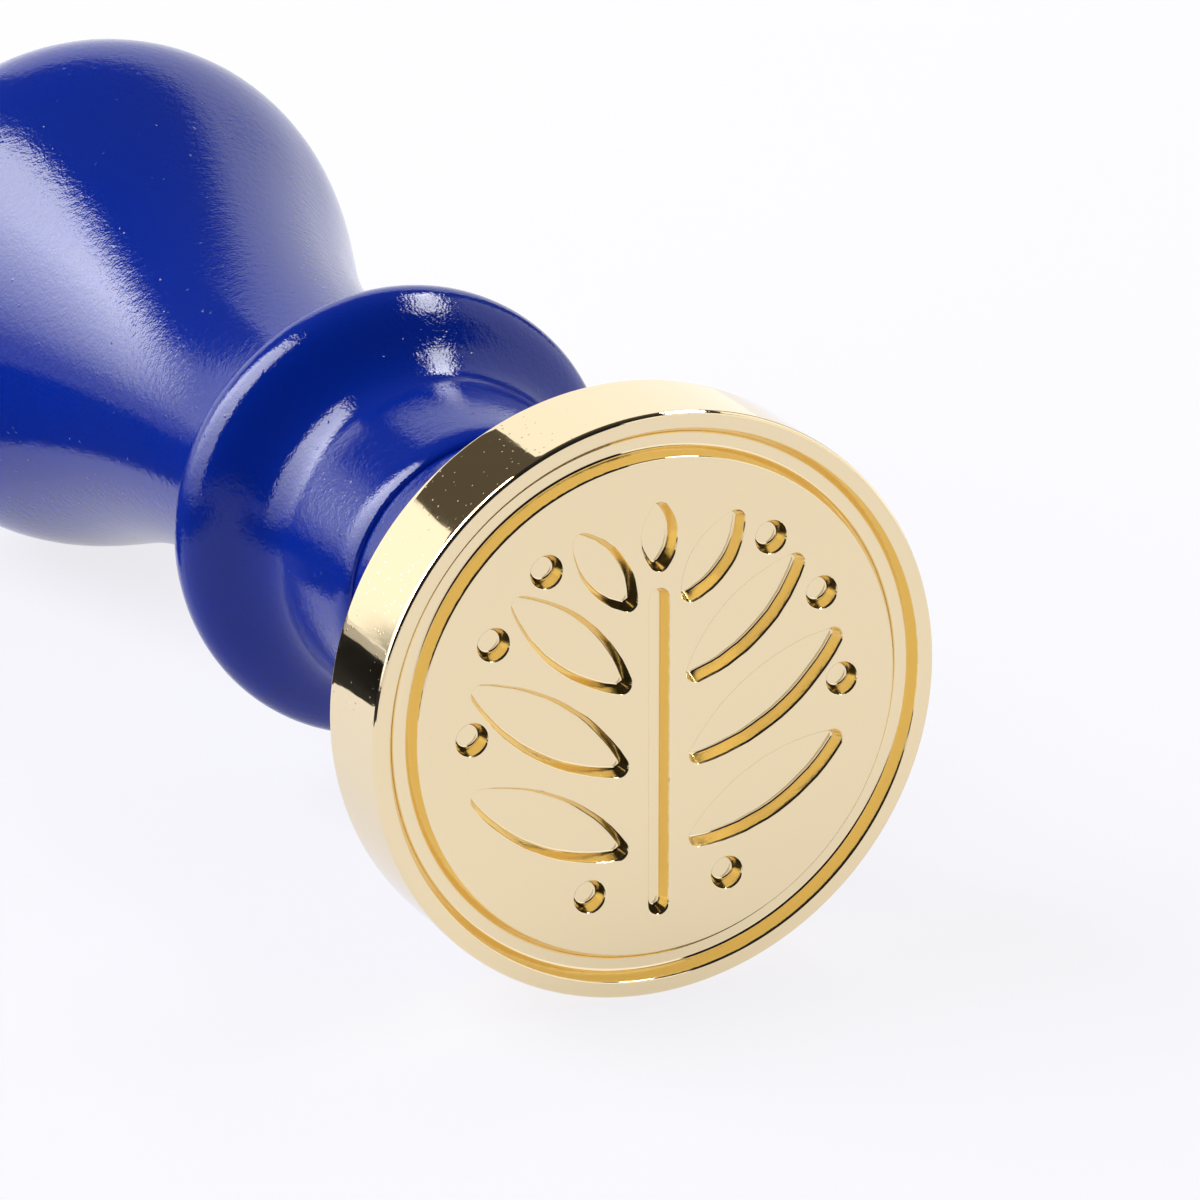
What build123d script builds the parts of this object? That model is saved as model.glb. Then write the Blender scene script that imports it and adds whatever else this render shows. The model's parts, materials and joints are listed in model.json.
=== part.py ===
"""A wax seal stamp: a turned, lacquered wooden handle with an engraved metal seal screwed into its foot.

The stamp lies on its side, as it is put down between two letters. The seal's rim and the handle's
knob rest on the table at z = 0. The stamp's axis runs along +Y, from the seal's face to the knob,
and the origin is on the table below the middle of the stamp. Lengths are in millimetres.
"""

import os
from math import cos, radians, sin, sqrt, tan

from build123d import *

# Seal: a polished disc, with a groove inside its rim that leaves a round field for the engraving
seal_radius = 12.5
seal_thickness = 4.6
rim_width = 0.7
lip_round = 0.35
back_edge_round = 0.2
border_groove_width = 1.2
engraving_depth = 0.6
engraving_draft = 28.0

# Leafy sprig on the field: leaves in pairs along a stem, a leaf at its tip and berries between them
sprig_margin = 1.6
stem_width = 1.0
stem_top = 5.2
leaf_land = 0.45
lowest_leaf_height = -6.3
leaf_spacing = 3.5
leaf_angles = (62, 56, 48, 36)
leaf_widths = (2.6, 2.6, 2.4, 2.0)
tip_leaf_width = 1.7
berry_radius = 0.75
berry_angles = (-68, 0, 28, 53)

# Threaded stud behind the seal
stud_radius = 3.45
stud_length = 9.9
stud_lead_in = 0.6
thread_pitch = 1.0
thread_depth = 0.5
thread_relief = 0.8

# Threaded insert, pressed into the handle
insert_radius = 5.0
insert_length = 11.0
insert_recess = 0.4
insert_lead_in = 0.5
insert_clearance = 0.05
stud_clearance = 0.05
stud_tip_room = 1.2
barb_depth = 0.4
barb_spacing = 2.2

# Handle: each length runs on from the one before it, from the foot to the top of the knob
foot_step = 1.0
foot_lower_round = 0.6
foot_side_height = 0.7
foot_upper_round = 1.2
waist_radius = 6.6
cove_length = 8.9
collar_step = 0.4
collar_round = 1.3
collar_length = 4.7
collar_flare = 0.15
ring_radius = 10.25
flare_length = 4.8
neck_radius = 6.6
ring_back_length = 6.7
taper_length = 29.4
dome_height = 9.6

# How long each swell keeps its direction before it turns, as a share of the stretch beside it
round_share = 0.55
shoulder_share = 0.62
collar_share = 0.56
ring_share = 0.4
ring_back_share = 0.32
neck_share = 0.45
taper_share = 0.58
knob_share = 0.18

# The foot stands back from the seal's side, and the knob is as wide as the seal, so the stamp lies level
foot_radius = seal_radius - foot_step
knob_radius = seal_radius

# Places along the handle, measured from its foot
foot_height = foot_lower_round + foot_side_height + foot_upper_round
waist_at = foot_height + cove_length
collar_at = waist_at + collar_round
flare_at = collar_at + collar_length
ring_at = flare_at + flare_length
neck_at = ring_at + ring_back_length
knob_at = neck_at + taper_length
handle_length = knob_at + dome_height
bore_depth = max(insert_recess + insert_length, stud_length) + stud_tip_room

# Places of the stamp in its frame
stamp_length = seal_thickness + handle_length
axis_height = seal_radius
face_y = -stamp_length / 2
foot_y = face_y + seal_thickness
stamp_axis = Axis((0, 0, axis_height), (0, 1, 0))
face_plane = Plane((0, face_y, axis_height), x_dir=(1, 0, 0), z_dir=(0, -1, 0))
foot_plane = Plane((0, foot_y, axis_height), x_dir=(1, 0, 0), z_dir=(0, -1, 0))

# Half sections have the radius along X, and the distance from the plane's origin along Y
seal_section = Plane((0, face_y, axis_height))
handle_section = Plane((0, foot_y, axis_height))
insert_section = Plane((0, foot_y + insert_recess, axis_height))

# Radii that follow from the sizes above
collar_radius = waist_radius + collar_step
flare_radius = collar_radius + collar_flare
wall_run = engraving_depth * tan(radians(engraving_draft))
groove_outer_radius = seal_radius - rim_width
field_radius = groove_outer_radius - border_groove_width
sprig_radius = field_radius - sprig_margin
thread_root_radius = stud_radius - thread_depth
insert_thread_radius = stud_radius + stud_clearance
insert_bore_radius = insert_radius + insert_clearance

os.makedirs("parts", exist_ok=True)


def ridges(low, high, start, pitch, count):
    """Half-section points of a row of ridges, from the radius low up to high and back for each pitch."""
    points = [(low, start)]
    for ridge in range(count):
        points.append((high, start + (ridge + 0.5) * pitch))
        points.append((low, start + (ridge + 1) * pitch))
    return points


def reach(start, direction):
    """The length of a leaf that starts on the field and ends on the circle round the sprig."""
    along = start.dot(direction)
    return sqrt(along**2 - start.dot(start) + sprig_radius**2) - along


# Seal head: disc, border groove and stud are one turned piece
stud_tip = seal_thickness + stud_length
thread_start = seal_thickness + thread_relief
thread_turns = int((stud_length - thread_relief - stud_lead_in) / thread_pitch)
stud_thread = ridges(thread_root_radius, stud_radius, thread_start, thread_pitch, thread_turns)

leaves = [(Vector(0, stem_top + leaf_land), Vector(0, 1), tip_leaf_width)]
for pair, (angle, width) in enumerate(zip(leaf_angles, leaf_widths)):
    height = lowest_leaf_height + pair * leaf_spacing
    for side in (-1, 1):
        start = Vector(side * (stem_width / 2 + leaf_land), height)
        leaves.append((start, Vector(side * sin(radians(angle)), cos(radians(angle))), width))

with BuildPart() as seal_head:
    with BuildSketch(seal_section):
        with BuildLine():
            Polyline(
                (0, stud_tip),
                (0, 0),
                (field_radius, 0),
                (field_radius + wall_run, engraving_depth),
                (groove_outer_radius - wall_run, engraving_depth),
                (groove_outer_radius, 0),
                (seal_radius - lip_round, 0),
            )
            TangentArc((seal_radius - lip_round, 0), (seal_radius, lip_round), tangent=(1, 0))
            Line((seal_radius, lip_round), (seal_radius, seal_thickness - back_edge_round))
            TangentArc(
                (seal_radius, seal_thickness - back_edge_round),
                (seal_radius - back_edge_round, seal_thickness),
                tangent=(0, 1),
            )
            Polyline(
                (seal_radius - back_edge_round, seal_thickness),
                (thread_root_radius, seal_thickness),
                *stud_thread,
                (thread_root_radius, stud_tip - stud_lead_in),
                (thread_root_radius - stud_lead_in, stud_tip),
                (0, stud_tip),
            )
        make_face()
    revolve(axis=stamp_axis)

    with BuildSketch(face_plane):
        with Locations((0, (stem_top - sprig_radius) / 2)):
            SlotOverall(stem_top + sprig_radius, stem_width, rotation=90)
    extrude(amount=-engraving_depth, taper=engraving_draft, mode=Mode.SUBTRACT)

    with BuildSketch(face_plane):
        for start, direction, width in leaves:
            tip = start + direction * reach(start, direction)
            belly = Vector(-direction.Y, direction.X) * width / 2
            with BuildLine():
                ThreePointArc(start, (start + tip) / 2 + belly, tip)
                ThreePointArc(tip, (start + tip) / 2 - belly, start)
            make_face()
    extrude(amount=-engraving_depth, taper=engraving_draft, mode=Mode.SUBTRACT)

    with BuildSketch(face_plane):
        for angle in berry_angles:
            with PolarLocations(sprig_radius - berry_radius, 1, angle):
                Circle(berry_radius)
            with PolarLocations(sprig_radius - berry_radius, 1, 180 - angle):
                Circle(berry_radius)
    extrude(amount=-engraving_depth, taper=engraving_draft, mode=Mode.SUBTRACT)
seal_head.part.label = "seal_head"
export_step(seal_head.part, "parts/seal_head.step")

# Threaded insert: a turned bush with barbs outside and the thread inside
barb_count = int((insert_length - 2 * insert_lead_in) / barb_spacing)
insert_turns = int((insert_length - 2 * insert_lead_in) / thread_pitch)
barbs = ridges(insert_radius - barb_depth, insert_radius, insert_lead_in, barb_spacing, barb_count)
insert_thread = ridges(
    insert_thread_radius, insert_thread_radius + thread_depth, insert_lead_in, thread_pitch, insert_turns
)

with BuildPart() as threaded_insert:
    with BuildSketch(insert_section):
        with BuildLine():
            Polyline(
                (insert_thread_radius, 0),
                *insert_thread,
                (insert_thread_radius, insert_length),
                (insert_radius - barb_depth, insert_length),
                *reversed(barbs),
                (insert_radius - barb_depth, 0),
                close=True,
            )
        make_face()
    revolve(axis=stamp_axis)
threaded_insert.part.label = "threaded_insert"
export_step(threaded_insert.part, "parts/threaded_insert.step")

# Handle: turned in one piece, with a blind bore for the insert and the stud's tip
with BuildPart() as handle:
    with BuildSketch(handle_section):
        with BuildLine():
            Polyline((0, handle_length), (0, 0), (foot_radius - foot_lower_round, 0))
            TangentArc(
                (foot_radius - foot_lower_round, 0), (foot_radius, foot_lower_round), tangent=(1, 0)
            )
            Line((foot_radius, foot_lower_round), (foot_radius, foot_lower_round + foot_side_height))
            TangentArc(
                (foot_radius, foot_lower_round + foot_side_height),
                (foot_radius - foot_upper_round, foot_height),
                tangent=(0, 1),
            )
            cove_depth = foot_radius - foot_upper_round - waist_radius
            Bezier(
                (foot_radius - foot_upper_round, foot_height),
                (foot_radius - foot_upper_round - round_share * cove_depth, foot_height),
                (waist_radius, waist_at - round_share * cove_length),
                (waist_radius, waist_at),
            )
            collar_slope = collar_flare / collar_length
            shoulder_run = shoulder_share * collar_round
            Bezier(
                (waist_radius, waist_at),
                (waist_radius + shoulder_share * collar_step, waist_at),
                (collar_radius - shoulder_run * collar_slope, collar_at - shoulder_run),
                (collar_radius, collar_at),
            )
            Line((collar_radius, collar_at), (flare_radius, flare_at))
            collar_run = collar_share * flare_length
            Bezier(
                (flare_radius, flare_at),
                (flare_radius + collar_run * collar_slope, flare_at + collar_run),
                (ring_radius, ring_at - ring_share * flare_length),
                (ring_radius, ring_at),
            )
            Bezier(
                (ring_radius, ring_at),
                (ring_radius, ring_at + ring_back_share * ring_back_length),
                (neck_radius, neck_at - neck_share * ring_back_length),
                (neck_radius, neck_at),
            )
            Bezier(
                (neck_radius, neck_at),
                (neck_radius, neck_at + taper_share * taper_length),
                (knob_radius, knob_at - knob_share * taper_length),
                (knob_radius, knob_at),
            )
            Bezier(
                (knob_radius, knob_at),
                (knob_radius, knob_at + round_share * dome_height),
                (round_share * knob_radius, handle_length),
                (0, handle_length),
            )
        make_face()
    revolve(axis=stamp_axis)
    with Locations(foot_plane):
        Hole(insert_bore_radius, depth=bore_depth)
handle.part.label = "handle"
export_step(handle.part, "parts/handle.step")
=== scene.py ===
# %% [markdown]
# # A wax seal stamp
# A turned wooden handle under thick blue lacquer, and a gold plated seal that screws into its foot.
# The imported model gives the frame: its bodies, its joints and the box that everything stays inside.
# Each piece here is modelled again with finer edges and a real finish, and rides on the body that carries it.

# %% The frame
import json
import math

import bpy
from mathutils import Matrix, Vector

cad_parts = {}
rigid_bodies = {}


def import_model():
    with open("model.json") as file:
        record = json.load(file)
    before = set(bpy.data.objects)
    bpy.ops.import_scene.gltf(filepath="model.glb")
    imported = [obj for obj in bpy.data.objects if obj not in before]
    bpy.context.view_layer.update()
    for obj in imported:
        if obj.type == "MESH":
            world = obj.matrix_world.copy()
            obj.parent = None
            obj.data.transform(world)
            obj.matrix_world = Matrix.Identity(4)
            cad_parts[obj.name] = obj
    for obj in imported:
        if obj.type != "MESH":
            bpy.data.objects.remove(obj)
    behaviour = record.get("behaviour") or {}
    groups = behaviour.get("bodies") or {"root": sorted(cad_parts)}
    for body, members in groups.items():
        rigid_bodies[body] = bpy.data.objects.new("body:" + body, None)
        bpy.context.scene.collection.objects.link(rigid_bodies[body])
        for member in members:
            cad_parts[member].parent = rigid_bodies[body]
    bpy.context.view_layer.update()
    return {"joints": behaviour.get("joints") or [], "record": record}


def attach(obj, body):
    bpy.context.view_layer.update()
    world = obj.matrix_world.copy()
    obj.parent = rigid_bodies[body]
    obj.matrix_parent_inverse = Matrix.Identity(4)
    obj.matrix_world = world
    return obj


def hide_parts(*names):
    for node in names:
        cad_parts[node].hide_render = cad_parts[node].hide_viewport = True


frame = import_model()

MM = 0.001
joints = {joint["name"]: joint for joint in frame["joints"]}
mounts = {mount["name"]: mount for mount in frame["record"]["mounts"]}
finishes = {finish["slot"]: finish["base_color"] for finish in frame["record"]["materials"]}
axis_height = joints["handle_unscrew"]["pos_m"][2]
face_y = mounts["seal_face"]["pos_m"][1]
print("axis at", axis_height, "m, seal face at", face_y, "m")

# %% [markdown]
# ## Outlines
# A lathe turns every piece of this stamp, so each one starts as half a section: a line from the axis out
# to the surface and back. It could be extruded point by point, but a Bezier curve keeps its round stretches
# exact with few points. Each knot is a point and its two handles, and `eased_knots` rounds the corners of
# a plain outline by laying two knots beside each corner, with handles that point at it.

# %% Outline helpers
ARC_HANDLE = 0.5523


def eased_knots(corners):
    """Knots of an outline given by its corners (across, along, reach), rounded over the reach at each one."""
    knots = []
    for index, (across, along, reach) in enumerate(corners):
        corner = Vector((across, along))
        if reach == 0:
            knots.append((corner, corner, corner))
            continue
        before = Vector(corners[index - 1][:2])
        after = Vector(corners[(index + 1) % len(corners)][:2])
        back = (before - corner).normalized() * reach
        ahead = (after - corner).normalized() * reach
        knots.append((corner + back, corner + back, corner + back * (1 - ARC_HANDLE)))
        knots.append((corner + ahead, corner + ahead * (1 - ARC_HANDLE), corner + ahead))
    return knots


def half_section(point):
    """A point of a half section: its radius is along X and its length along Y, the axis of the stamp."""
    return Vector((point.x, point.y, 0))


def on_face(point):
    """A point on the seal's face, which stands upright in the plane of X and Z."""
    return Vector((point.x, 0, point.y))


def add_new(operator, name, **options):
    """Adds an object with nothing else selected, and names it."""
    bpy.ops.object.select_all(action="DESELECT")
    operator(**options)
    bpy.context.object.name = name
    return bpy.context.object


def draw_outline(name, knots, points, place=half_section, closed=False):
    """Draws a Bezier curve through knots, with so many points a stretch, and makes it a line of edges."""
    curve = add_new(bpy.ops.curve.primitive_bezier_curve_add, name, location=(0, 0, 0))
    spline = curve.data.splines[0]
    spline.bezier_points.add(len(knots) - len(spline.bezier_points))
    for bezier, (point, left, right) in zip(spline.bezier_points, knots):
        bezier.handle_left_type = bezier.handle_right_type = "FREE"
        bezier.co, bezier.handle_left, bezier.handle_right = place(point), place(left), place(right)
    spline.use_cyclic_u = closed
    spline.resolution_u = points
    bpy.ops.object.convert(target="MESH")
    return bpy.context.object


print("outline helpers ready")

# %% [markdown]
# ## Turning and setting down
# Spin turns a half section round the axis, as the lathe does. It leaves doubled points at the seam and on the
# axis, so they are merged, and then the faces are pointed outwards.
#
# Blender's fill takes points closer than some hundredths of a unit for one. So each piece is drawn in
# millimetres round the origin, and `set_down` brings it to metres and to its place when it is finished.

# %% Turning helpers
MERGE = 0.001
SMOOTH = math.radians(30)


def close_seams():
    """In edit mode, merges points that meet and points the faces outwards."""
    bpy.ops.mesh.select_all(action="SELECT")
    bpy.ops.mesh.remove_doubles(threshold=MERGE)
    bpy.ops.mesh.normals_make_consistent(inside=False)


def unselect_mesh():
    """Unselects all of the active mesh, so that parts of it can be selected by their place."""
    bpy.ops.object.mode_set(mode="EDIT")
    bpy.ops.mesh.select_all(action="DESELECT")
    bpy.ops.object.mode_set(mode="OBJECT")


def turn(steps):
    """Spins the active half section round its axis, and closes its seam and poles."""
    bpy.ops.object.mode_set(mode="EDIT")
    bpy.ops.mesh.select_all(action="SELECT")
    bpy.ops.mesh.spin(steps=steps, angle=2 * math.pi, center=(0, 0, 0), axis=(0, 1, 0))
    close_seams()
    bpy.ops.object.mode_set(mode="OBJECT")


def pick(piece, others=()):
    """Selects a piece, which becomes the active object, and others with it."""
    bpy.ops.object.select_all(action="DESELECT")
    for other in others:
        other.select_set(True)
    piece.select_set(True)
    bpy.context.view_layer.objects.active = piece


def join_into(piece, others):
    """Joins other objects into a piece, which stays the active object."""
    pick(piece, others)
    bpy.ops.object.join()


def fix_place():
    """Fixes the active object's place, turn and size in its mesh."""
    bpy.ops.object.transform_apply(location=True, rotation=True, scale=True)


def set_down(piece, start_y):
    """Brings a piece from millimetres to metres, and lays it on the stamp's axis."""
    pick(piece)
    piece.scale = (MM, MM, MM)
    piece.location = (0, start_y, axis_height)
    fix_place()


print("turning helpers ready, points within", MERGE, "mm are merged")

# %% [markdown]
# ## The handle
# The real handle is one piece of close-grained wood, turned between centres, bored at the foot and dipped
# in lacquer. A cove runs up from the foot and ends in a crisp step to a plain collar, then come a ring,
# a neck and the knob. The outline runs along the axis at the ring, the neck and the knob, so those places
# are knots of the curve, and their handles say how long each swell keeps its direction.

# %% Handle sizes
foot_radius = 11.5
foot_lower_round = 0.6
foot_side_height = 0.7
foot_upper_round = 1.2
waist_radius = 6.6
cove_length = 8.9
collar_step = 0.4
collar_round = 1.3
collar_length = 4.7
collar_flare = 0.15
ring_radius = 10.25
flare_length = 4.8
neck_radius = 6.6
ring_back_length = 6.7
knob_radius = 12.5
taper_length = 29.4
dome_height = 9.6
bore_radius = 5.05
bore_depth = 12.6
bore_chamfer = 0.3

foot_height = foot_lower_round + foot_side_height + foot_upper_round
cove_radius = foot_radius - foot_upper_round
collar_radius = waist_radius + collar_step
waist_at = foot_height + cove_length
collar_at = waist_at + collar_round
flare_at = collar_at + collar_length
ring_at = flare_at + flare_length
neck_at = ring_at + ring_back_length
knob_at = neck_at + taper_length
handle_length = knob_at + dome_height
print("handle:", round(handle_length, 1), "mm long")

# %% Handle outline
round_share = 0.55
shoulder_share = 0.62
collar_share = 0.56
ring_share = 0.4
ring_back_share = 0.32
neck_share = 0.45
taper_share = 0.58
knob_share = 0.18
handle_points = 18


def swell(radius, along, before, after):
    """A knot where the outline runs along the axis, with handles of the lengths before and after it."""
    return (Vector((radius, along)), Vector((radius, along - before)), Vector((radius, along + after)))


foot_knots = eased_knots([
    (0, bore_depth, 0),
    (bore_radius, bore_depth, 0),
    (bore_radius, bore_chamfer, 0),
    (bore_radius + bore_chamfer, 0, 0),
    (foot_radius, 0, foot_lower_round),
    (foot_radius, foot_height, foot_upper_round),
    (cove_radius, foot_height, 0),
])

# The foot's upper round ends where the cove starts, so their two knots become one
cove_start, cove_handle, _ = foot_knots.pop(-2)
cove_depth = cove_radius - waist_radius
foot_knots[-1] = (cove_start, cove_handle, cove_start - Vector((round_share * cove_depth, 0)))

waist = Vector((waist_radius, waist_at))
waist_back = Vector((0, round_share * cove_length))
waist_ahead = Vector((shoulder_share * collar_step, 0))
collar_start = Vector((collar_radius, collar_at))
collar_end = Vector((collar_radius + collar_flare, flare_at))
collar_way = (collar_end - collar_start) / collar_length
knob_top = Vector((0, handle_length))
knob_handle = Vector((round_share * knob_radius, handle_length))
handle_knots = foot_knots + [
    (waist, waist - waist_back, waist + waist_ahead),
    (collar_start, collar_start - collar_way * shoulder_share * collar_round, collar_start),
    (collar_end, collar_end, collar_end + collar_way * collar_share * flare_length),
    swell(ring_radius, ring_at, ring_share * flare_length, ring_back_share * ring_back_length),
    swell(neck_radius, neck_at, neck_share * ring_back_length, taper_share * taper_length),
    swell(knob_radius, knob_at, knob_share * taper_length, round_share * dome_height),
    (knob_top, knob_handle, knob_top),
]
handle = draw_outline("lacquered_handle", handle_knots, handle_points)
print("handle outline:", len(handle_knots), "knots,", len(handle.data.vertices), "points")

# %% Turn the handle
seal_thickness = 4.6
foot_y = face_y + seal_thickness * MM
handle_steps = 160

turn(handle_steps)
bpy.ops.object.shade_smooth_by_angle(angle=SMOOTH)
set_down(handle, foot_y)
print("handle:", len(handle.data.polygons), "faces")

# %% [markdown]
# ## The seal's turned body
# The seal is a brass blank: a disc with a narrow slanted lip, a groove inside its rim, and a stud behind it.
# A sharp corner would look drawn, because polished metal always shows a thin bright line where two faces
# meet. So the corners of the disc are eased, at the groove and the lip by a tenth of a millimetre or less.
# The middle of the face stays open here, and the engraved field fills it in the next step.

# %% Seal outline
seal_radius = 12.5
rim_width = 0.7
lip_width = 0.1
lip_height = 0.14
lip_ease = 0.055
back_edge_round = 0.2
border_groove_width = 1.2
engraving_depth = 0.6
engraving_draft = 28.0
edge_ease = 0.045
floor_ease = 0.1
flat_ring = 0.3
stud_root_radius = 2.95
stud_length = 9.9
stud_lead_in = 0.6
stud_fillet = 0.25
seal_points = 8
seal_steps = 256

wall_run = engraving_depth * math.tan(math.radians(engraving_draft))
groove_outer_radius = seal_radius - rim_width
field_radius = groove_outer_radius - border_groove_width
field_edge = field_radius - flat_ring
stud_tip = seal_thickness + stud_length

seal_knots = eased_knots([
    (field_edge, 0, 0),
    (field_radius, 0, edge_ease),
    (field_radius + wall_run, engraving_depth, floor_ease),
    (groove_outer_radius - wall_run, engraving_depth, floor_ease),
    (groove_outer_radius, 0, edge_ease),
    (seal_radius - lip_width, 0, lip_ease),
    (seal_radius, lip_height, lip_ease),
    (seal_radius, seal_thickness, back_edge_round),
    (stud_root_radius, seal_thickness, stud_fillet),
    (stud_root_radius, stud_tip - stud_lead_in, 0),
    (stud_root_radius - stud_lead_in, stud_tip, 0),
    (0, stud_tip, 0),
])
seal = draw_outline("gold_seal", seal_knots, seal_points)
turn(seal_steps)
print("seal body:", len(seal.data.polygons), "faces")

# %% [markdown]
# ## The engraved field
# A cutter with a slanted side engraves the sprig: leaves in pairs along a stem, with berries between them.
# A Boolean cut would leave a ragged edge and no control over it. Here the outlines are drawn on the face,
# the sheet round them is filled, and each pocket's own face is then inset step by step: first the eased
# edge, then the slanted wall, then the small round at its floor. The cutter wandered a little, so the long
# sides of the leaves are shaken by a hundredth of a millimetre or two before they are filled.

# %% Sprig leaves
sprig_margin = 1.6
stem_width = 1.0
stem_top = 5.2
leaf_land = 0.45
lowest_leaf_height = -6.3
leaf_spacing = 3.5
leaf_angles = (62, 56, 48, 36)
leaf_widths = (2.6, 2.6, 2.4, 2.0)
tip_leaf_width = 1.7
leaf_end_round = 0.48
half_stem = stem_width / 2
sprig_radius = field_radius - sprig_margin


def leaf_knots(start, direction, width):
    """Four knots of a leaf from its foot to the circle round the sprig: two arcs, and a round at each end."""
    along = start.dot(direction)
    length = math.sqrt(along**2 - start.length_squared + sprig_radius**2) - along
    middle = start + direction * length / 2
    beside = Vector((-direction.y, direction.x))
    side_radius = (length**2 / 4 + width**2 / 4) / width
    side_centre = side_radius - width / 2
    end_centre = math.sqrt((side_radius - leaf_end_round) ** 2 - side_centre**2)
    half_sweep = math.atan2(end_centre, side_centre)
    side_handle = side_radius * math.tan(half_sweep / 2) * 4 / 3
    end_handle = leaf_end_round * math.tan(math.pi / 4 - half_sweep / 2) * 4 / 3

    knots = []
    for end, flank in ((-1, -1), (1, -1), (1, 1), (-1, 1)):
        reach = end * side_radius * math.sin(half_sweep)
        rise = flank * (side_radius * math.cos(half_sweep) - side_centre)
        point = middle + direction * reach + beside * rise
        inward = -end * direction * math.cos(half_sweep) + flank * beside * math.sin(half_sweep)
        handles = (point - inward * end_handle, point + inward * side_handle)
        knots.append((point, *handles) if end * flank > 0 else (point, *reversed(handles)))
    return knots


leaves = [leaf_knots(Vector((0, stem_top + leaf_land)), Vector((0, 1)), tip_leaf_width)]
for pair, (angle, width) in enumerate(zip(leaf_angles, leaf_widths)):
    for hand in (-1, 1):
        foot = Vector((hand * (half_stem + leaf_land), lowest_leaf_height + pair * leaf_spacing))
        way = Vector((hand * math.sin(math.radians(angle)), math.cos(math.radians(angle))))
        leaves.append(leaf_knots(foot, way, width))
print("sprig:", len(leaves), "leaves within", round(sprig_radius, 1), "mm of its middle")

# %% Draw the pockets
leaf_points = 14
stem_points = 5
long_sides = (0, 2)
wander = 0.015
berry_radius = 0.75
berry_angles = (-68, 0, 28, 53)
berry_points = 24
upright = (math.pi / 2, 0, 0)

pockets = []
for seed, knots in enumerate(leaves):
    leaf = draw_outline("leaf", knots, leaf_points, place=on_face, closed=True)
    unselect_mesh()
    for stretch in long_sides:
        for point in range(1, leaf_points):
            leaf.data.vertices[stretch * leaf_points + point].select = True
    bpy.ops.object.mode_set(mode="EDIT")
    bpy.ops.transform.vertex_random(offset=wander, uniform=1.0, normal=0.0, seed=seed)
    bpy.ops.transform.resize(value=(1, 0, 1), center_override=(0, 0, 0))
    bpy.ops.object.mode_set(mode="OBJECT")
    pockets.append(leaf)

stem_knots = eased_knots([
    (-half_stem, -sprig_radius, half_stem),
    (half_stem, -sprig_radius, half_stem),
    (half_stem, stem_top, half_stem),
    (-half_stem, stem_top, half_stem),
])
pockets.append(draw_outline("stem", stem_knots, stem_points, place=on_face, closed=True))

for angle in berry_angles:
    for bearing in (math.radians(angle), math.radians(180 - angle)):
        middle = Vector((math.cos(bearing), math.sin(bearing))) * (sprig_radius - berry_radius)
        berry = add_new(
            bpy.ops.mesh.primitive_circle_add,
            "berry",
            vertices=berry_points,
            radius=berry_radius,
            location=on_face(middle),
            rotation=upright,
        )
        fix_place()
        pockets.append(berry)
print("sprig:", len(pockets), "pockets")

# %% Sink the pockets
rounds = 3
wall_angle = math.radians(90 - engraving_draft)
turns = [wall_angle * step / rounds for step in range(rounds + 1)]
quarter = [
    (math.sin(far) - math.sin(near), math.cos(near) - math.cos(far)) for near, far in zip(turns, turns[1:])
]
edge_steps = [(run * edge_ease, drop * edge_ease) for run, drop in quarter]
floor_steps = [(run * floor_ease, drop * floor_ease) for run, drop in reversed(quarter)]
eased_run = sum(run for run, _ in edge_steps + floor_steps)
eased_drop = sum(drop for _, drop in edge_steps + floor_steps)
wall_step = (wall_run - eased_run, engraving_depth - eased_drop)
pocket_steps = edge_steps + [wall_step] + floor_steps

for pocket in pockets:
    pick(pocket)
    bpy.ops.object.mode_set(mode="EDIT")
    bpy.ops.mesh.select_all(action="SELECT")
    bpy.ops.mesh.remove_doubles(threshold=MERGE)
    bpy.ops.mesh.edge_face_add()
    bpy.ops.object.mode_set(mode="OBJECT")
    outward = -1 if pocket.data.polygons[0].normal.y < 0 else 1
    bpy.ops.object.mode_set(mode="EDIT")
    for run, drop in pocket_steps:
        bpy.ops.mesh.inset(thickness=run, depth=outward * drop, use_even_offset=True)
    bpy.ops.object.mode_set(mode="OBJECT")
print("pockets sunk by", engraving_depth, "mm in", len(pocket_steps), "steps")

# %% Fill the sheet round the pockets
field = add_new(
    bpy.ops.mesh.primitive_circle_add,
    "engraved_field",
    vertices=seal_steps,
    radius=field_edge,
    rotation=upright,
)
fix_place()
join_into(field, pockets)
bpy.ops.object.mode_set(mode="EDIT")
bpy.ops.mesh.select_all(action="DESELECT")
bpy.ops.mesh.select_non_manifold()
bpy.ops.mesh.fill(use_beauty=True)
bpy.ops.object.mode_set(mode="OBJECT")
print("field:", len(field.data.polygons), "faces round", len(pockets), "pockets")

# %% [markdown]
# ## The stud's thread
# A turned ring would do for a thread that is hidden, but the stud shows when the handle is unscrewed.
# So one ridge is drawn and the Screw modifier winds it up the stud, a pitch a turn, right-handed, as the
# joint turns. Its foot lies a little under the stud's surface, so no gap shows between them.

# %% Wind a thread
thread_pitch = 1.0
thread_depth = 0.5
thread_relief = 0.8
thread_crest = 0.08
thread_sink = 0.05
thread_steps = 64


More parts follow.
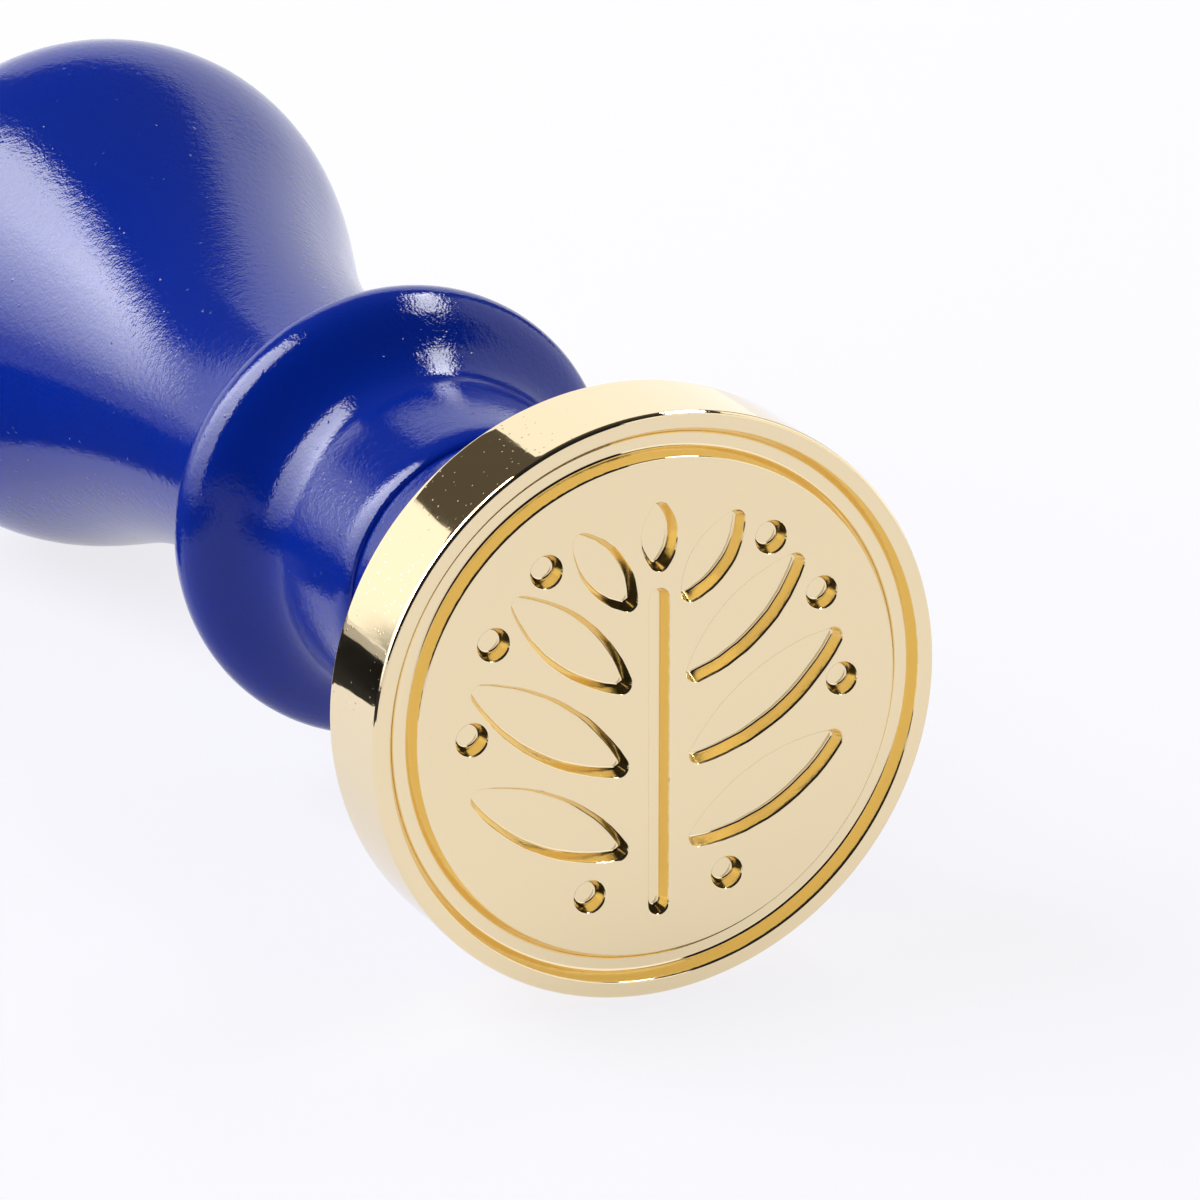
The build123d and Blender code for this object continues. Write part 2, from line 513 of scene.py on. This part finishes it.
def wind_thread(name, root_radius, crest_radius, start, turns):
    """A ridge that winds round the axis from its start, from root to crest, with its two ends closed."""
    sunk_radius = root_radius + math.copysign(thread_sink, root_radius - crest_radius)
    half_foot = (thread_pitch + thread_sink) / 2
    half_crest = thread_crest / 2
    ridge_knots = eased_knots([
        (sunk_radius, start - half_foot, 0),
        (crest_radius, start - half_crest, 0),
        (crest_radius, start + half_crest, 0),
        (sunk_radius, start + half_foot, 0),
    ])
    ridge = draw_outline(name, ridge_knots, points=1, closed=True)
    bpy.ops.object.modifier_add(type="SCREW")
    screw = ridge.modifiers[-1]
    screw.axis = "Y"
    screw.screw_offset = thread_pitch
    screw.iterations = turns
    screw.steps = screw.render_steps = thread_steps
    bpy.ops.object.modifier_apply(modifier=screw.name)
    bpy.ops.object.mode_set(mode="EDIT")
    bpy.ops.mesh.select_all(action="SELECT")
    bpy.ops.mesh.remove_doubles(threshold=MERGE)
    bpy.ops.mesh.fill_holes(sides=4)
    close_seams()
    bpy.ops.object.mode_set(mode="OBJECT")
    return ridge


stud_radius = stud_root_radius + thread_depth
stud_turns = int((stud_length - thread_relief - stud_lead_in) / thread_pitch) - 1
stud_thread_start = seal_thickness + thread_relief + thread_pitch / 2
stud_thread = wind_thread("stud_thread", stud_root_radius, stud_radius, stud_thread_start, stud_turns)
print("stud thread:", stud_turns, "turns,", len(stud_thread.data.polygons), "faces")

# %% Join the seal
FLAT = 0.99999
seal_smooth = math.radians(35)

join_into(seal, [field, stud_thread])
bpy.ops.object.mode_set(mode="EDIT")
close_seams()
bpy.ops.object.mode_set(mode="OBJECT")
bpy.ops.object.shade_smooth_by_angle(angle=seal_smooth)

# The flat faces get a sharp outline, so that no shading bends over them from the eased edges
unselect_mesh()
for face in seal.data.polygons:
    face.select = abs(face.normal.y) > FLAT
bpy.ops.object.mode_set(mode="EDIT")
bpy.ops.mesh.region_to_loop()
bpy.ops.mesh.mark_sharp()
bpy.ops.object.mode_set(mode="OBJECT")
set_down(seal, face_y)
print("seal:", len(seal.data.polygons), "faces")

# %% [markdown]
# ## The threaded insert
# A brass bush is pressed into the handle's bore, so that the wood needn't hold a thread. Barbs grip the
# wood outside, and inside it has a lip at each end with the thread between them. Only its mouth shows.

# %% Insert outline
insert_radius = 5.0
insert_length = 11.0
insert_recess = 0.4
insert_lip = 0.5
insert_chamfer = 0.3
insert_edge_ease = 0.15
insert_thread_radius = 3.5
barb_depth = 0.4
barb_spacing = 2.2
insert_points = 4

insert_root_radius = insert_thread_radius + thread_depth
barb_root = insert_radius - barb_depth
barb_count = int((insert_length - 2 * insert_lip) / barb_spacing)
insert_corners = [
    (insert_thread_radius + insert_chamfer, 0, 0),
    (insert_thread_radius, insert_chamfer, 0),
    (insert_thread_radius, insert_lip, 0),
    (insert_root_radius, insert_lip + insert_chamfer, 0),
    (insert_root_radius, insert_length - insert_lip - insert_chamfer, 0),
    (insert_thread_radius, insert_length - insert_lip, 0),
    (insert_thread_radius, insert_length, 0),
    (barb_root, insert_length, 0),
]
for barb in reversed(range(barb_count)):
    barb_start = insert_lip + barb * barb_spacing
    insert_corners.append((barb_root, barb_start + barb_spacing, 0))
    insert_corners.append((insert_radius, barb_start + barb_spacing / 2, 0))
insert_corners.append((barb_root, insert_lip, 0))
insert_corners.append((barb_root, 0, insert_edge_ease))

insert = draw_outline("brass_insert", eased_knots(insert_corners), insert_points, closed=True)
print("insert outline:", barb_count, "barbs,", len(insert.data.vertices), "points")

# %% Turn the insert
insert_steps = 96
insert_y = foot_y + insert_recess * MM
insert_turns = int((insert_length - 2 * insert_lip - 2 * insert_chamfer) / thread_pitch) - 1
insert_thread_start = insert_lip + insert_chamfer + thread_pitch / 2

turn(insert_steps)
insert_thread = wind_thread(
    "insert_thread", insert_root_radius, insert_thread_radius, insert_thread_start, insert_turns
)
join_into(insert, [insert_thread])
bpy.ops.object.shade_smooth_by_angle(angle=SMOOTH)
set_down(insert, insert_y)
print("insert:", insert_turns, "turns of thread,", len(insert.data.polygons), "faces")

# %% [markdown]
# ## Node groups
# Four things serve more than one finish: the place on the stamp, orange peel, dust and the rings of a lathe.
# So each is a node group that is built once. They put out distances, heights and masks that change over the
# surface, and each finish gives them its own size. All of them read Object coordinates, which are the frame's
# own metres, because every piece sits at the origin.

# %% Node helpers
MM_PER_M = 1000


def put(tree, kind, inputs=None, **settings):
    """Adds a shader node, sets its options, and sets or links its inputs."""
    node = tree.nodes.new("ShaderNode" + kind)
    for option, value in settings.items():
        setattr(node, option, value)
    for socket, value in (inputs or {}).items():
        if isinstance(value, bpy.types.NodeSocket):
            tree.links.new(value, node.inputs[socket])
        else:
            node.inputs[socket].default_value = value
    return node


def compute(tree, operation, *values):
    """A Math node's result."""
    return put(tree, "Math", dict(enumerate(values)), operation=operation).outputs[0]


def fade(tree, value, start, end):
    """A smooth step from 0 where the value is at start, to 1 where it is at end."""
    steps = {"Value": value, "From Min": start, "From Max": end}
    return put(tree, "MapRange", steps, interpolation_type="SMOOTHSTEP").outputs[0]


def surface(tree):
    """The place on the surface, in metres."""
    return put(tree, "TexCoord").outputs["Object"]


def noise(tree, place, scale, detail, roughness=0.5):
    """A noise texture's value at a place."""
    inputs = {"Vector": place, "Scale": scale, "Detail": detail, "Roughness": roughness}
    return put(tree, "TexNoise", inputs).outputs[0]


def new_group(name, inputs, outputs):
    """A shader node group with float sockets, and its input and output nodes."""
    group = bpy.data.node_groups.new(name, "ShaderNodeTree")
    for socket, value in inputs.items():
        made = group.interface.new_socket(socket, in_out="INPUT", socket_type="NodeSocketFloat")
        made.default_value = value
    for socket in outputs:
        group.interface.new_socket(socket, in_out="OUTPUT", socket_type="NodeSocketFloat")
    return group, group.nodes.new("NodeGroupInput"), group.nodes.new("NodeGroupOutput")


def use(tree, group, inputs=None):
    """Places a node group in a tree with its own values."""
    return put(tree, "Group", inputs, node_tree=group)


print("node helpers ready")

# %% Places on the stamp
places, _, result = new_group("stamp places", {}, ("Radius", "Along"))
position = put(places, "SeparateXYZ", {0: surface(places)})
height = compute(places, "SUBTRACT", position.outputs["Z"], axis_height)
across = put(places, "CombineXYZ", {"X": position.outputs["X"], "Y": height})
distance = put(places, "VectorMath", {0: across.outputs[0]}, operation="LENGTH").outputs["Value"]
from_face = compute(places, "SUBTRACT", position.outputs["Y"], face_y)
places.links.new(compute(places, "MULTIPLY", distance, MM_PER_M), result.inputs["Radius"])
places.links.new(compute(places, "MULTIPLY", from_face, MM_PER_M), result.inputs["Along"])
print("stamp places: radius and length behind the face, in mm")

# %% Orange peel
peel, given, result = new_group("orange peel", {"Lumps per mm": 4.0, "Squeeze": 1.0}, ("Height",))
drawn_out = put(peel, "CombineXYZ", {"X": 1.0, "Y": given.outputs["Squeeze"], "Z": 1.0})
factors = {0: surface(peel), 1: drawn_out.outputs[0]}
lump_place = put(peel, "VectorMath", factors, operation="MULTIPLY").outputs[0]
lumps_per_m = compute(peel, "MULTIPLY", given.outputs["Lumps per mm"], MM_PER_M)
lumps = noise(peel, lump_place, lumps_per_m, detail=2.0, roughness=0.45)
peel.links.new(lumps, result.inputs["Height"])
print("orange peel: the lumps that a thick coat dries with")

# %% Dust specks
specks, given, result = new_group("dust specks", {"Spacing": 1.0, "Size": 0.06, "Share": 0.3}, ("Mask",))
specks_per_m = compute(specks, "DIVIDE", MM_PER_M, given.outputs["Spacing"])
cells = put(specks, "TexVoronoi", {"Vector": surface(specks), "Scale": specks_per_m})
reach = compute(specks, "DIVIDE", given.outputs["Size"], given.outputs["Spacing"])
spot = fade(specks, cells.outputs["Distance"], reach, 0.0)
chance = put(specks, "SeparateColor", {0: cells.outputs["Color"]}).outputs[0]
kept = compute(specks, "LESS_THAN", chance, given.outputs["Share"])
specks.links.new(compute(specks, "MULTIPLY", spot, kept), result.inputs["Mask"])
print("dust specks: small round nibs, in some cells only")

# %% Turning rings
rings, given, result = new_group("turning rings", {"Rings per mm": 6.0}, ("Height",))
around = use(rings, places)
ring_spot = {"X": around.outputs["Radius"], "Y": around.outputs["Along"], "Z": 0.0}
ring_place = put(rings, "CombineXYZ", ring_spot).outputs[0]
ring_lines = noise(rings, ring_place, given.outputs["Rings per mm"], detail=3.0, roughness=0.6)
rings.links.new(ring_lines, result.inputs["Height"])
print("turning rings: lines that a tool leaves round the axis")

# %% [markdown]
# ## Finishes
# A finish is one Principled shader and whatever disturbs it. A mark stays where it belongs by a mask: smooth
# steps along the axis or away from it, multiplied so that all of them have to hold. Lumps, specks and tool
# marks are too small to model, so they are layers of height, in micrometres, that tilt the shader's normal.

# %% Finish helpers
MICRON = 0.001 * MM


def new_material(name):
    """A material with a Principled shader, its tree and the shader node."""
    material = bpy.data.materials.new(name)
    material.use_nodes = True
    tree = material.node_tree
    return material, tree, tree.nodes["Principled BSDF"]


def overlap(tree, first, *others):
    """A mask where all of some smooth steps hold, each given as a value, its start and its end."""
    mask = fade(tree, *first)
    for other in others:
        mask = compute(tree, "MULTIPLY", mask, fade(tree, *other))
    return mask


def spread(tree, value, low, high, to_low, to_high):
    """A value's stretch from low to high, laid evenly over another stretch."""
    ends = {"Value": value, "From Min": low, "From Max": high, "To Min": to_low, "To Max": to_high}
    return put(tree, "MapRange", ends).outputs[0]


def blend(tree, factor, first, second, kind="RGBA"):
    """A colour, or a number where the kind is FLOAT, that goes from the first to the second with a factor."""
    ends = {"Factor": factor, "A": first, "B": second}
    return put(tree, "Mix", ends, data_type=kind).outputs["Result"]


def relief(tree, shader, *layers):
    """Tilts a shader's normal by layers of height, each a value and its height in micrometres."""
    height = 0.0
    for value, microns in layers:
        height = compute(tree, "MULTIPLY_ADD", value, microns, height)
    bump = put(tree, "Bump", {"Height": height, "Strength": 1.0, "Distance": MICRON})
    tree.links.new(bump.outputs[0], shader.inputs["Normal"])


print("finish helpers ready")

# %% [markdown]
# ## Gold plate
# The plate is a mirror. What makes it look real is what breaks the mirror: plating lumps that fray the
# edges of reflections on the side, a few specks, chatter on the engraved walls, and nicks on their edges.
# A polishing wheel doesn't reach into the engraving, so its walls are rougher, and their deeper gold is a
# painted reflection of light that bounces between them.

# %% Gold plate relief
wall_top = (0.02, 0.1)
wall_foot = (0.58, 0.5)
wall_reach = (12.0, 11.9)
side_start = (12.3, 12.45)
plating_microns = 1.6
chatter_microns = 9.0
nib_microns = 3.5

gold, tree, shader = new_material("gold_plate")
here = use(tree, places)
along, radius = here.outputs["Along"], here.outputs["Radius"]
wall = overlap(tree, (along, *wall_top), (along, *wall_foot), (radius, *wall_reach))
side = fade(tree, radius, *side_start)

plating = use(tree, peel, {"Lumps per mm": 3.5, "Squeeze": 0.12})
chatter = use(tree, peel, {"Lumps per mm": 2.6})
nibs = use(tree, specks, {"Spacing": 0.3, "Size": 0.055, "Share": 0.7})
relief(
    tree,
    shader,
    (plating.outputs["Height"], compute(tree, "MULTIPLY", side, plating_microns)),
    (chatter.outputs["Height"], compute(tree, "MULTIPLY", wall, chatter_microns)),
    (nibs.outputs["Mask"], compute(tree, "MULTIPLY", side, nib_microns)),
)
print("gold plate relief:", len(tree.nodes), "nodes")

# %% Gold plate colour and polish
edge_top = (0.002, 0.01)
edge_foot = (0.12, 0.06)
plate_colour = (*finishes["gold_plate"], 1)
# Painted reflection: the engraved walls are tinted a deeper gold for the light that bounces from wall to
# wall.
painted_bounce_gold = (0.9, 0.7, 0.32, 1)
nick_brown = (0.16, 0.09, 0.03, 1)
smears_per_m = 260.0
smear_range = (0.35, 0.75)
polish = (0.025, 0.06)
wall_roughness = 0.12

edge = overlap(tree, (along, *edge_top), (along, *edge_foot))
nick = use(tree, specks, {"Spacing": 1.3, "Size": 0.16, "Share": 0.35})
nicked = compute(tree, "MULTIPLY", nick.outputs["Mask"], edge)
# The walls take the deeper gold, which is painted reflection, and the nicks on their edges take brown.
tint = blend(tree, nicked, blend(tree, wall, plate_colour, painted_bounce_gold), nick_brown)
tree.links.new(tint, shader.inputs["Base Color"])

smear = noise(tree, surface(tree), smears_per_m, detail=4.0)
rough = spread(tree, smear, *smear_range, *polish)
worn = compute(tree, "MULTIPLY_ADD", wall, wall_roughness, rough)
tree.links.new(worn, shader.inputs["Roughness"])
shader.inputs["Metallic"].default_value = 1.0
print("gold plate:", len(tree.nodes), "nodes")

# %% [markdown]
# ## Blue lacquer
# The lacquer is a deep blue coat thick enough to pull into orange peel, with dust nibs caught in it and
# faint rings from sanding on the lathe under it. The dip stops at the foot's end, so bare wood shows there,
# in a ragged ring round the bore, and inside the bore.

# %% Blue lacquer relief
coat_microns = 12.0
fine_coat_microns = 10.0
dust_microns = 16.0
sanding_microns = 3.0

lacquer, tree, shader = new_material("blue_lacquer")
coat = use(tree, peel, {"Lumps per mm": 2.6})
fine_coat = use(tree, peel, {"Lumps per mm": 8.0})
dust = use(tree, specks, {"Spacing": 0.6, "Size": 0.1, "Share": 0.35})
sanding = use(tree, rings, {"Rings per mm": 3.0})
relief(
    tree,
    shader,
    (coat.outputs["Height"], coat_microns),
    (fine_coat.outputs["Height"], fine_coat_microns),
    (dust.outputs["Mask"], dust_microns),
    (sanding.outputs["Height"], sanding_microns),
)
print("blue lacquer relief:", len(tree.nodes), "nodes")

# %% Bare wood
end_face = (seal_thickness + 0.35, seal_thickness + 0.1)
wood_ring = (bore_radius + 4.2, bore_radius + 3.4)
bore_wall = (bore_radius + 0.2, bore_radius + 0.05)
bore_floor = (seal_thickness + bore_depth + 2.0, seal_thickness + bore_depth + 1.0)
clouds_per_m = 90.0
grain_per_m = 500.0
grain_squeeze = (4, 1, 1)
dark_grain = (0.36, 0.21, 0.10, 1)
pale_grain = (0.62, 0.44, 0.26, 1)

here = use(tree, places)
along, radius = here.outputs["Along"], here.outputs["Radius"]
cloud = noise(tree, surface(tree), clouds_per_m, detail=3.0)
ragged_radius = compute(tree, "ADD", radius, cloud)
foot_wood = overlap(tree, (along, *end_face), (ragged_radius, *wood_ring))
bore_wood = overlap(tree, (radius, *bore_wall), (along, *bore_floor))
bare = compute(tree, "MAXIMUM", foot_wood, bore_wood)

grain_place = put(tree, "Mapping", {"Vector": surface(tree), "Scale": grain_squeeze}).outputs[0]
grain = noise(tree, grain_place, grain_per_m, detail=5.0)
wood = blend(tree, grain, dark_grain, pale_grain)
print("bare wood:", len(tree.nodes), "nodes with the relief")

# %% Blue lacquer colour and gloss
lacquer_colour = (*finishes["blue_lacquer"], 1)
thick_lacquer = (0.001, 0.02, 0.29, 1)
cloud_range = (0.3, 0.7)
gloss_range = (0.05, 0.1)
wood_roughness = 0.7

deep = blend(tree, fade(tree, cloud, *cloud_range), lacquer_colour, thick_lacquer)
tree.links.new(blend(tree, bare, deep, wood), shader.inputs["Base Color"])
gloss = spread(tree, cloud, *cloud_range, *gloss_range)
tree.links.new(blend(tree, bare, gloss, wood_roughness, kind="FLOAT"), shader.inputs["Roughness"])
shader.inputs["IOR"].default_value = 1.37
print("blue lacquer:", len(tree.nodes), "nodes")

# %% [markdown]
# ## Plain brass
# The insert comes straight off the lathe, so it has a tool's rings on it and no polish, and it has tarnished
# in patches, which are both browner and duller.

# %% Plain brass
tool_microns = 4.0
brass_colour = (*finishes["plain_brass"], 1)
brown_brass = (0.5, 0.33, 0.13, 1)
tarnish_per_m = 400.0
tarnish_range = (0.4, 0.75)
brass_roughness = (0.22, 0.45)

brass, tree, shader = new_material("plain_brass")
tool = use(tree, rings, {"Rings per mm": 9.0})
relief(tree, shader, (tool.outputs["Height"], tool_microns))
tarnish = noise(tree, surface(tree), tarnish_per_m, detail=5.0)
tint = blend(tree, fade(tree, tarnish, *tarnish_range), brass_colour, brown_brass)
tree.links.new(tint, shader.inputs["Base Color"])
tree.links.new(spread(tree, tarnish, 0.0, 1.0, *brass_roughness), shader.inputs["Roughness"])
shader.inputs["Metallic"].default_value = 1.0
print("plain brass:", len(tree.nodes), "nodes")

# %% [markdown]
# ## Pieces on their bodies
# The seal stays put, the insert lifts away from it, and the handle turns as it lifts. Each piece stands
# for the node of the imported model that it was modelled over.

# %% Ride
riders = {
    "seal": (seal, "seal_head", "gold_plate", gold),
    "insert": (insert, "threaded_insert", "plain_brass", brass),
    "grip": (handle, "handle", "blue_lacquer", lacquer),
}
for body, (piece, node, slot, material) in riders.items():
    piece.data.materials.clear()
    piece.data.materials.append(material)
    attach(piece, body)
    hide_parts(node)
    print(piece.name, "rides on", body, "for", node, "with", len(piece.data.loop_triangles), "triangles")

# %% [markdown]
# ## The table
# The stamp lies on a white sheet that curls up far away from it, so no horizon shows. The sheet is plain
# white paper, and most of it glows for camera, glass and mirror rays, which keeps it white without more
# light on the stamp. What is left of the paper's own shading is the shadow.

# %% Table sheet
table_radius = 0.9
table_points = 96
curl_radius = 0.5
curl_steps = 6
curl_angle = math.radians(40)

table = add_new(
    bpy.ops.mesh.primitive_circle_add,
    "table_sheet",
    vertices=table_points,
    radius=table_radius,
    fill_type="NGON",
)
bpy.ops.object.mode_set(mode="EDIT")
bpy.ops.mesh.select_all(action="SELECT")
bpy.ops.mesh.region_to_loop()
rim, level = table_radius, 0.0
for step in range(1, curl_steps + 1):
    angle = curl_angle * step / curl_steps
    next_rim = table_radius + curl_radius * math.sin(angle)
    next_level = curl_radius * (1 - math.cos(angle))
    growth = next_rim / rim
    bpy.ops.mesh.extrude_edges_move()
    bpy.ops.transform.resize(value=(growth, growth, 1), center_override=(0, 0, 0))
    bpy.ops.transform.translate(value=(0, 0, next_level - level))
    rim, level = next_rim, next_level
bpy.ops.object.mode_set(mode="OBJECT")
bpy.ops.object.shade_smooth_by_angle(angle=SMOOTH)
print("table:", round(rim, 3), "m to its rim")

# %% White paper
table_glow = 0.82
mirrored_glow = 0.67
paper_colour = (0.86, 0.885, 1, 1)
glow_colour = (0.985, 0.975, 1, 1)

sheet, tree, shader = new_material("white_sheet")
tree.nodes.remove(shader)
paths = put(tree, "LightPath")
seen = compute(tree, "MAXIMUM", paths.outputs["Is Camera Ray"], paths.outputs["Is Transmission Ray"])
mirrored = compute(tree, "MULTIPLY", paths.outputs["Is Glossy Ray"], mirrored_glow)
share = compute(tree, "MULTIPLY_ADD", seen, table_glow, mirrored)
paper = put(tree, "BsdfDiffuse", {"Color": paper_colour})
glow = put(tree, "Emission", {"Color": glow_colour, "Strength": 1.0})
mix = put(tree, "MixShader", {0: share, 1: paper.outputs[0], 2: glow.outputs[0]})
tree.links.new(mix.outputs[0], tree.nodes["Material Output"].inputs["Surface"])
table.data.materials.append(sheet)
print("white paper: a share of", table_glow, "glows for the camera")

# %% [markdown]
# ## The light tent
# Mirrors and lacquer show the room, so the light is a room: a tall soft box at the left that gets brighter
# upwards, white walls behind, at the right and at the front right, a strip light at the right, and darkness
# in between. Each is a glowing card that the camera can't see. A soft box is many times as bright as paper,
# and a lamp of that strength would bleach the colours here, so a card has two strengths: one for the light
# that it throws, at a plain level, and one for its reflection. A wide light overhead, which mirrors can't
# see, lifts the shadows. The room itself is dark on the camera's side, and dim and warm behind the stamp.

# %% Light cards
DIM_FOOT = 0.05


def light_card(name, start, end, top, glow, shine, bottom=0.0, soft=0.0, rise=0.0):
    """An upright card over a line on the table, in metres, that glows at one strength and shines in mirrors
    at another. Shares of it fade out: soft at the end of the line, and rise above its bottom edge."""
    start, end = Vector(start), Vector(end)
    middle = (start + end) / 2
    card = add_new(
        bpy.ops.mesh.primitive_plane_add,
        name,
        size=1,
        location=(middle.x, middle.y, (bottom + top) / 2),
        rotation=(math.pi / 2, 0, math.atan2(end.y - start.y, end.x - start.x)),
    )
    card.scale = ((end - start).length, top - bottom, 1)
    fix_place()
    card.visible_camera = False

    material, tree, shader = new_material(name)
    tree.nodes.remove(shader)
    mirrored = put(tree, "LightPath").outputs["Is Glossy Ray"]
    strength = compute(tree, "MULTIPLY_ADD", mirrored, shine - glow, glow)
    spot = put(tree, "SeparateXYZ", {0: put(tree, "TexCoord").outputs["UV"]})
    if soft:
        strength = compute(tree, "MULTIPLY", strength, fade(tree, spot.outputs["X"], 1.0, 1.0 - soft))
    if rise:
        climb = spread(tree, spot.outputs["Y"], 0.0, rise, DIM_FOOT, 1.0)
        strength = compute(tree, "MULTIPLY", strength, climb)
    glowing = put(tree, "Emission", {"Strength": strength})
    tree.links.new(glowing.outputs[0], tree.nodes["Material Output"].inputs["Surface"])
    card.data.materials.append(material)
    print(name, "glows at", glow, "and shines at", shine)


light_card("left_soft_box", (-0.3, -0.035), (-0.3, 0.5), top=0.8, glow=5.2, shine=14.0, soft=0.26, rise=0.38)
light_card("low_back_wall", (-0.3, 0.46), (0.0, 0.46), top=0.235, glow=1.0, shine=1.3)
light_card("back_wall", (0.0, 0.45), (0.36, 0.33), top=0.34, glow=1.5, shine=1.15)
light_card("right_wall", (0.4, 0.21), (0.4, -0.16), top=0.48, glow=1.7, shine=1.2)
light_card("front_right_wall", (0.4, -0.2), (0.15, -0.45), top=0.35, glow=0.6, shine=1.1)
light_card("right_strip_light", (0.2, 0.16), (0.2, -0.13), bottom=0.29, top=0.43, glow=5.0, shine=18.0)

# %% Overhead light and room
overhead_height = 0.9
overhead_width = 1.2
overhead_watts = 1.1
room_fade = (-0.3, 0.5)
room_at_camera = (0.015, 0.016, 0.022, 1)
room_behind = (0.1, 0.088, 0.07, 1)

overhead = add_new(
    bpy.ops.object.light_add, "overhead_light", type="AREA", location=(0, 0, overhead_height)
)
overhead.data.size = overhead_width
overhead.data.energy = overhead_watts
overhead.visible_glossy = False

world = bpy.data.worlds.new("dim_room")
bpy.context.scene.world = world
world.use_nodes = True
tree = world.node_tree
facing = put(tree, "SeparateXYZ", {0: put(tree, "TexCoord").outputs["Generated"]})
room = blend(tree, fade(tree, facing.outputs["Y"], *room_fade), room_at_camera, room_behind)
tree.links.new(room, tree.nodes["Background"].inputs["Color"])
print("a light of", overhead_watts, "W overhead, and a dim room")

# %% [markdown]
# ## Dark blocks
# Polished things need something dark to look polished. Two low black blocks lie just outside the picture,
# at the left. Only mirrors see them: they draw the dark band along the handle and the lower dark patch on
# the seal's side. Blocks that also threw shadows would leave dark patches on the table in other views.

# %% Dark blocks
black_colour = (0.008, 0.008, 0.01, 1)
black_roughness = 0.6
black, tree, shader = new_material("black_card")
shader.inputs["Base Color"].default_value = black_colour
shader.inputs["Roughness"].default_value = black_roughness


def dark_block(name, corner, bearing, size):
    """A block that only mirrors see, with one corner on the table, turned by a bearing, in metres."""
    block = add_new(bpy.ops.mesh.primitive_cube_add, name, size=1, location=(-0.5, 0.5, 0.5))
    fix_place()
    block.location = (*corner, 0)
    block.rotation_euler = (0, 0, math.radians(bearing))
    block.scale = size
    fix_place()
    for rays in ("visible_camera", "visible_diffuse", "visible_shadow", "visible_transmission"):
        setattr(block, rays, False)
    block.data.materials.append(black)
    print(name, "is", round(size[2] / MM, 1), "mm high")


dark_block("dark_block_by_the_knob", (-0.021, 0.012), -20, (0.07, 0.07, 0.0115))
dark_block("dark_block_in_front", (-0.085, -0.055), -27, (0.03, 0.085, 0.012))

# %% [markdown]
# ## The camera
# The stamp was seen from close by through a long lens, from the seal's side and a little above. The camera
# could be turned until the picture looks right, but a place and an aim, both measured from the middle of the
# seal's face, can be read and changed.

# %% Camera
lens_mm = 186.9
nearest_mm = 10
camera_from_face = Vector((-101.66, -211.04, 89.44)) * MM
aim_from_face = Vector((-1.533, 2.366, 4.119)) * MM
face_middle = Vector((0, face_y, axis_height))

camera = add_new(bpy.ops.object.camera_add, "Camera", location=face_middle + camera_from_face)
camera.rotation_euler = (aim_from_face - camera_from_face).to_track_quat("-Z", "Y").to_euler()
camera.data.lens = lens_mm
camera.data.clip_start = nearest_mm * MM
bpy.context.scene.camera = camera
bpy.context.scene.view_settings.view_transform = "Standard"
print("camera", round(camera_from_face.length / MM), "mm from the seal's face")
